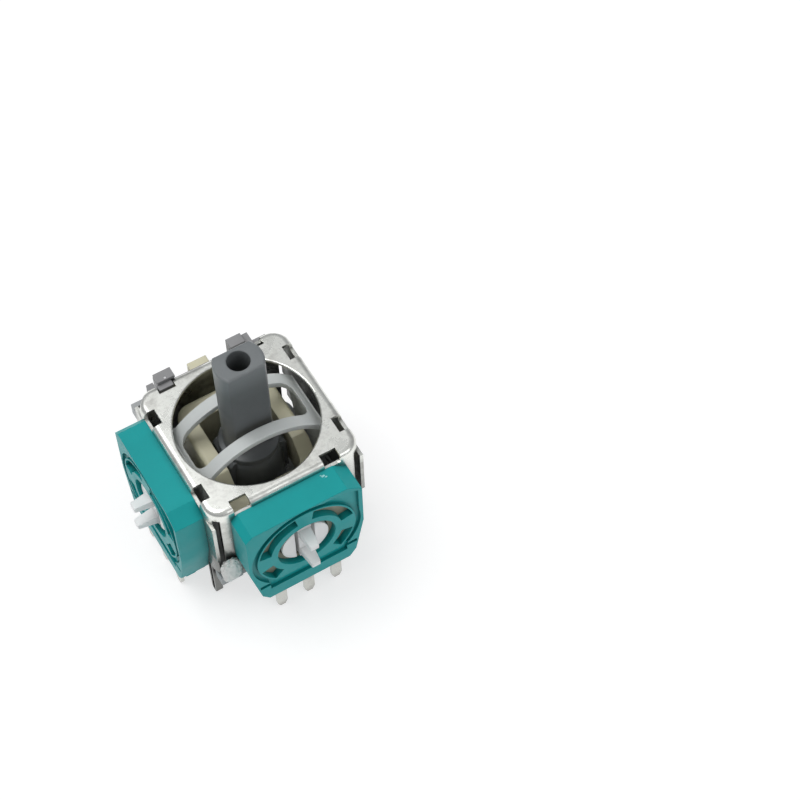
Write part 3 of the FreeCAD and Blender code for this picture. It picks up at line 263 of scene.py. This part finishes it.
def metal(name, light, dark, rough=(0.25, 0.4), patch=420.0, height=0.006, light_and_shade_ramp=None, crevice_shade=0.45):
    material, tree, shader = new_material(name)
    cloud = noise(tree, patch, 8.0, 0.68)
    colours = ramp(tree, cloud, [(0.34, dark), (0.5, light), (1.0, shade(light, 1.06))])
    # Painted shade in corners, and painted light and shade along an axis where one is given, change the
    # mottled colours
    painted_shade = painted_crevice_shade(tree, METAL_SHADE_REACH, crevice_shade, start=0.35, end=0.9)
    colours = with_painted_light_and_shade(tree, colours, painted_shade, light_and_shade_ramp)
    tree.links.new(colours, shader.inputs["Base Color"])
    tree.links.new(spread(tree, cloud, rough[1], rough[0], start=0.35, end=0.6), shader.inputs["Roughness"])
    shader.inputs["Metallic"].default_value = 1.0
    relief(tree, shader, noise(tree, patch * 3, 5.0, 0.6), height, METAL_EDGE)
    return material


def make_materials():
    """The look of each of the record's material slots."""
    # Every look below has painted shade in its corners and beside steps, and some give how dark it may get
    return {
        # Steel sheet: painted shade makes its walls darker towards the bottom, as well as in its corners
        "steel_sheet": metal("steel_sheet_look", (0.85, 0.86, 0.815), (0.54, 0.54, 0.51), (0.24, 0.4),
                             patch=430.0, height=0.003, light_and_shade_ramp=("Z", 4.0, 11.3, 0.22, 1.0), crevice_shade=0.35),
        "grey_plastic": plastic("grey_plastic_look", (0.43, 0.445, 0.45), (0.45, 0.6)),
        # Stem plastic: a painted light makes it up to 1.75 times lighter towards its top
        "dark_plastic": plastic("dark_plastic_look", (0.112, 0.121, 0.125), (0.38, 0.48), vary=0.08, edge=0.2,
                                scatter=0.35, light_and_shade_ramp=("Z", 17.5, 20.0, 1.0, 1.75)),
        "clear_nylon": plastic("clear_nylon_look", (0.6, 0.628, 0.618), (0.3, 0.42), vary=0.06, scatter=0.6,
                               crevice_shade=0.9),
        # Cream nylon: a painted light makes it up to a fifth lighter towards its back end (+Y)
        "cream_nylon": plastic("cream_nylon_look", (0.6, 0.575, 0.42), vary=0.06, edge=0.15, scatter=0.3,
                               light_and_shade_ramp=("Y", 6.5, 8.0, 1.0, 1.2), crevice_shade=0.95),
        "teal_plastic": plastic("teal_plastic_look", (0.006, 0.345, 0.35), (0.36, 0.46), vary=0.05,
                                level=0.22, crevice_shade=0.6),
        "resistor_board": plastic("resistor_board_look", (0.4, 0.37, 0.28), (0.4, 0.5), vary=0.15,
                                  patch=600.0),
        "tinned": metal("tinned_look", (0.62, 0.62, 0.58), (0.42, 0.41, 0.38)),
        "white_plastic": plastic("white_plastic_look", (0.9, 0.91, 0.905), (0.3, 0.4), vary=0.04,
                                 scatter=0.4),
        "contact_metal": metal("contact_metal_look", (0.7, 0.56, 0.3), (0.5, 0.38, 0.2)),
        "seat_plastic": plastic("seat_plastic_look", (0.045, 0.05, 0.056), (0.35, 0.5)),
        "spring_steel": metal("spring_steel_look", (0.62, 0.62, 0.62), (0.4, 0.4, 0.4), (0.2, 0.35)),
        "black_plastic": plastic("black_plastic_look", (0.02, 0.02, 0.022), (0.35, 0.5)),
        "button_plastic": plastic("button_plastic_look", (0.03, 0.03, 0.03), (0.4, 0.5)),
        "guide_plastic": plastic("guide_plastic_look", (0.3, 0.3, 0.305), (0.4, 0.52)),
    }


def dress_nodes():
    """Gives each node of the frame the look of its slot."""
    slots = {part["node"]: part["material_slot"] for part in frame["record"]["subparts"]}
    for name, thing in nodes.items():
        look = looks[slots[name]]
        for place in thing.material_slots:
            place.material = look
        if not thing.material_slots:
            thing.data.materials.append(look)


# Forms
def add_object(name, mesh):
    thing = bpy.data.objects.new(name, mesh)
    bpy.context.scene.collection.objects.link(thing)
    return thing


def mesh_object(name, corners, faces):
    mesh = bpy.data.meshes.new(name)
    mesh.from_pydata(corners, [], faces)
    return add_object(name, mesh)


def finish_piece(thing, body, slot, look=None, replaced=None):
    """Gives a piece its look, which is its slot's look unless another is given, and lets it ride on a body.
    """
    thing.data.materials.clear()
    thing.data.materials.append(look or looks[slot])
    thing.data.shade_smooth()
    thing.data.set_sharp_from_angle(angle=math.radians(SHARP_DEGREES))
    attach(thing, body)
    if replaced:
        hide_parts(replaced)


def prism(outline, low, high):
    """A closed solid between two heights over an outline."""
    corners = [(x * MM, y * MM, z * MM) for z in (low, high) for x, y in outline]
    count = len(outline)
    faces = [tuple(reversed(range(count))), tuple(range(count, 2 * count))]
    faces += [(i, (i + 1) % count, count + (i + 1) % count, count + i) for i in range(count)]
    return mesh_object("cutter", corners, faces)


def stand_prism(outline, low, high, side):
    """A closed solid over an outline in X and Z, between two places on -Y, or on -X for side "x"."""
    thing = prism(outline, low, high)
    for vertex in thing.data.vertices:
        across, up, depth = vertex.co
        vertex.co = (-depth, -across, up) if side == "x" else (across, -depth, up)
    return thing


def block(low, high):
    x0, y0, z0 = low
    x1, y1, z1 = high
    return prism([(x0, y0), (x1, y0), (x1, y1), (x0, y1)], z0, z1)


def rounded_outline(low, high, radius, steps=8):
    """A rectangle with round corners, from the corner at the right front."""
    left, right = low[0] + radius, high[0] - radius
    front, back = low[1] + radius, high[1] - radius
    outline = []
    for turn, (x, y) in enumerate([(right, front), (right, back), (left, back), (left, front)]):
        for step in range(steps + 1):
            angle = math.radians(90 * (turn - 1 + step / steps))
            outline.append((x + radius * math.cos(angle), y + radius * math.sin(angle)))
    return outline


def joined_mesh(source):
    """The node's mesh with its split vertices joined again."""
    form = bmesh.new()
    form.from_mesh(nodes[source].data)
    bmesh.ops.remove_doubles(form, verts=form.verts, dist=0.0002 * MM)
    corners = [vertex.co.copy() for vertex in form.verts]
    faces = [[vertex.index for vertex in face.verts] for face in form.faces]
    form.free()
    mesh = bpy.data.meshes.new(source + "_form")
    mesh.from_pydata(corners, [], faces)
    return mesh


def keep_inside(mesh, box):
    """Takes away stray points outside a box, and faces with no area."""
    low, high = box
    slack = 0.002 * MM
    form = bmesh.new()
    form.from_mesh(mesh)
    stray = [vertex for vertex in form.verts
             if any(v < a - slack or v > b + slack for v, a, b in zip(vertex.co, low, high))]
    bmesh.ops.delete(form, geom=stray, context="VERTS")
    bmesh.ops.dissolve_degenerate(form, edges=form.edges, dist=0.0005 * MM)
    form.to_mesh(mesh)
    form.free()


def carved(name, source, body, slot, cutters):
    """The node's form less the cutters, as a piece that replaces the node."""
    thing = add_object(name, joined_mesh(source))
    for cutter in cutters:
        step = thing.modifiers.new("cut", "BOOLEAN")
        step.operation = "DIFFERENCE"
        step.solver = "EXACT"
        step.object = cutter
    graph = bpy.context.evaluated_depsgraph_get()
    result = bpy.data.meshes.new_from_object(thing.evaluated_get(graph))
    thing.modifiers.clear()
    thing.data = result
    for cutter in cutters:
        bpy.data.objects.remove(cutter)
    keep_inside(result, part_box(source))
    finish_piece(thing, body, slot, replaced=source)


def lathe(name, profile, steps=72):
    """A closed form turned round the Z axis from points of radius and height."""
    corners = []
    for radius, height in profile:
        for step in range(steps):
            angle = 2 * math.pi * step / steps
            corners.append((radius * math.cos(angle) * MM, radius * math.sin(angle) * MM, height * MM))
    faces = []
    last = len(profile) - 1
    for row in range(last):
        below, above = row * steps, (row + 1) * steps
        for step in range(steps):
            after = (step + 1) % steps
            faces.append((below + step, below + after, above + after, above + step))
    faces.append(tuple(reversed(range(steps))))
    faces.append(tuple(range(last * steps, (last + 1) * steps)))
    return mesh_object(name, corners, faces)


def lump(name, middle, half, rough, detail=3, scale=1.6):
    """A closed knobbly form, fuller than an ellipsoid, from its middle and half sizes."""
    fullness = 0.75
    smoothness, step_up, layers = 0.8, 2.2, 5
    form = bmesh.new()
    bmesh.ops.create_icosphere(form, subdivisions=detail, radius=1.0)
    for vertex in form.verts:
        out = vertex.co.normalized()
        wave = field.fractal(Vector(middle) + out * scale, smoothness, step_up, layers)
        boxed = Vector([math.copysign(abs(v) ** fullness, v) for v in out])
        size = 1.0 + rough * wave
        vertex.co = Vector([(m + h * v * size) * MM for m, h, v in zip(middle, half, boxed)])
    mesh = bpy.data.meshes.new(name)
    form.to_mesh(mesh)
    form.free()
    return add_object(name, mesh)


# Pieces
def corner_recess(end):
    """The outline of the sunk corner beside the dial, left for end -1 and right for end 1."""
    outline = []
    for step in range(RECESS_ARC_STEPS + 1):
        angle = math.radians(RECESS_ARC_DEGREES * (1 - step / RECESS_ARC_STEPS))
        outline.append((end * RECESS_DISC * math.cos(angle), PIVOT + RECESS_DISC * math.sin(angle)))
    outline.append((end * RECESS_SIDE, PIVOT))
    outline += RECESS_BEVELS[end]
    outline.append((end * RECESS_MIDDLE_GAP, RECESS_TOP))
    return outline


def carve_base():
    """The base without the post at the near corner, where the photograph shows a rough lump."""
    carved("base_moulding", "base", "frame", "grey_plastic", [block(*POST_CUT)])


def carve_guide():
    """The switch's holder with lower cheeks and shoulder."""
    cutters = [block(*CHEEK_CUT), block(*SHOULDER_CUT)]
    carved("guide_moulding", "switch_guide", "frame", "guide_plastic", cutters)


def carve_housings():
    """The housings with sunk corners beside the dial."""
    for side in ("y", "x"):
        recesses = [stand_prism(corner_recess(end), *RECESS_DEPTHS, side) for end in (-1, 1)]
        carved("pot_%s_case" % side, "pot_%s_housing" % side, "frame", "teal_plastic", recesses)


def carve_arch():
    """The arch with its slot a little longer at the left."""
    slot_end = prism(rounded_outline(*SLOT_CORNERS, SLOT_RADIUS), *SLOT_HEIGHTS)
    carved("arch_moulding", "upper_arm", "arch", "clear_nylon", [slot_end])


def make_spring():
    """The return spring, between the base and its seat, as a piece of its own that rides on the frame."""
    spring = add_object("coil_spring", joined_mesh("return_spring"))
    finish_piece(spring, "frame", "spring_steel", replaced="return_spring")
    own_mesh(spring)


def make_skirt():
    """The soft skirt round the stem's hub, and the three bright bumps near its foot."""
    finish_piece(lathe("stem_skirt", SKIRT_PROFILE), "stick", "dark_plastic")
    look = plastic("shiny_dark_look", (0.2, 0.21, 0.22), (0.15, 0.2), vary=0.05, edge=0)
    for number, (x, y) in enumerate(BUMP_PLACES):
        bump = lump("stem_bump_%d" % number, (x, y, BUMP_HEIGHT), BUMP_HALF, 0.15)
        finish_piece(bump, "stick", "dark_plastic", look)


def make_corner_lump():
    """The rough pale lump at the foot of the near corner."""
    look = plastic("rough_look", (0.9, 0.9, 0.87), (0.5, 0.65), vary=0.1, patch=900.0, grain=3000.0,
                   height=0.03, edge=0)
    piece = lump("corner_lump", LUMP_MIDDLE, LUMP_HALF, 0.2, detail=5, scale=2.2)
    finish_piece(piece, "frame", "grey_plastic", look)


def make_small_marks():
    """A pale dot on a hook that is a painted glint, and the scuffs on top of the front housing."""
    # A painted glint: a tiny white lump on the hook
    finish_piece(lump("hook_glint", GLINT_MIDDLE, GLINT_HALF, 0.1), "frame", "white_plastic")
    look = plastic("scuff_look", (0.3, 0.68, 0.68), (0.5, 0.6), vary=0.2, edge=0)
    for number, (x, y, size) in enumerate(SCUFFS):
        half = (size, size * 0.6, SCUFF_HALF_THICK)
        scuff = lump("pot_scuff_%d" % number, (x, y, SCUFF_HEIGHT), half, 0.3)
        finish_piece(scuff, "frame", "teal_plastic", look)


# Floor and light
def make_floor():
    """A pale floor that looks white from the camera and still shows the part's soft shadow."""
    signs = [(-1, -1), (1, -1), (1, 1), (-1, 1)]
    corners = [(x * FLOOR_HALF, y * FLOOR_HALF, FLOOR_HEIGHT) for x, y in signs]
    floor = mesh_object("floor", corners, [(0, 1, 2, 3)])
    material, tree, shader = new_material("floor_look")
    shader.inputs["Base Color"].default_value = (0.86, 0.865, 0.87, 1)
    shader.inputs["Roughness"].default_value = 0.6
    shader.inputs["Specular IOR Level"].default_value = 0.2
    shadowed = node(tree, "BsdfDiffuse", {"Color": (0.47, 0.47, 0.47, 1)})
    glow = node(tree, "Emission", {"Strength": 0.64})
    white = node(tree, "AddShader")
    path = node(tree, "LightPath")
    seen = node(tree, "Math", operation="MAXIMUM")
    seen_through = node(tree, "Math", operation="MAXIMUM")
    choice = node(tree, "MixShader")
    link = tree.links.new
    link(shadowed.outputs[0], white.inputs[0])
    link(glow.outputs[0], white.inputs[1])
    link(path.outputs["Is Camera Ray"], seen.inputs[0])
    link(path.outputs["Is Glossy Ray"], seen.inputs[1])
    link(seen.outputs[0], seen_through.inputs[0])
    link(path.outputs["Is Transmission Ray"], seen_through.inputs[1])
    link(seen_through.outputs[0], choice.inputs[0])
    link(shader.outputs[0], choice.inputs[1])
    link(white.outputs[0], choice.inputs[2])
    link(choice.outputs[0], tree.nodes["Material Output"].inputs["Surface"])
    floor.data.materials.append(material)


def area_light(name, place, size, power):
    """A round lamp that points at the part."""
    data = bpy.data.lights.new(name, "AREA")
    data.shape = "DISK"
    data.size = size
    data.energy = power
    lamp = bpy.data.objects.new(name, data)
    lamp.location = place
    aim = Vector(LAMP_TARGET) - Vector(place)
    lamp.rotation_euler = aim.to_track_quat("-Z", "Y").to_euler()
    bpy.context.scene.collection.objects.link(lamp)


def make_light():
    """A level pale sky and three soft lamps."""
    world = bpy.data.worlds.new("studio")
    bpy.context.scene.world = world
    world.use_nodes = True
    tree = world.node_tree
    back = tree.nodes["Background"]
    place = node(tree, "TexCoord")
    split = node(tree, "SeparateXYZ")
    tree.links.new(place.outputs["Generated"], split.inputs[0])
    tree.links.new(ramp(tree, split.outputs["Z"], SKY), back.inputs["Color"])
    back.inputs["Strength"].default_value = SKY_STRENGTH
    for name, lamp in LAMPS.items():
        area_light(name, **lamp)


# The scene
make_camera()
looks = make_materials()
dress_nodes()
carve_base()
carve_guide()
carve_housings()
carve_arch()
make_spring()
make_skirt()
make_corner_lump()
make_small_marks()
make_floor()
make_light()
bpy.context.scene.view_settings.view_transform = "Standard"
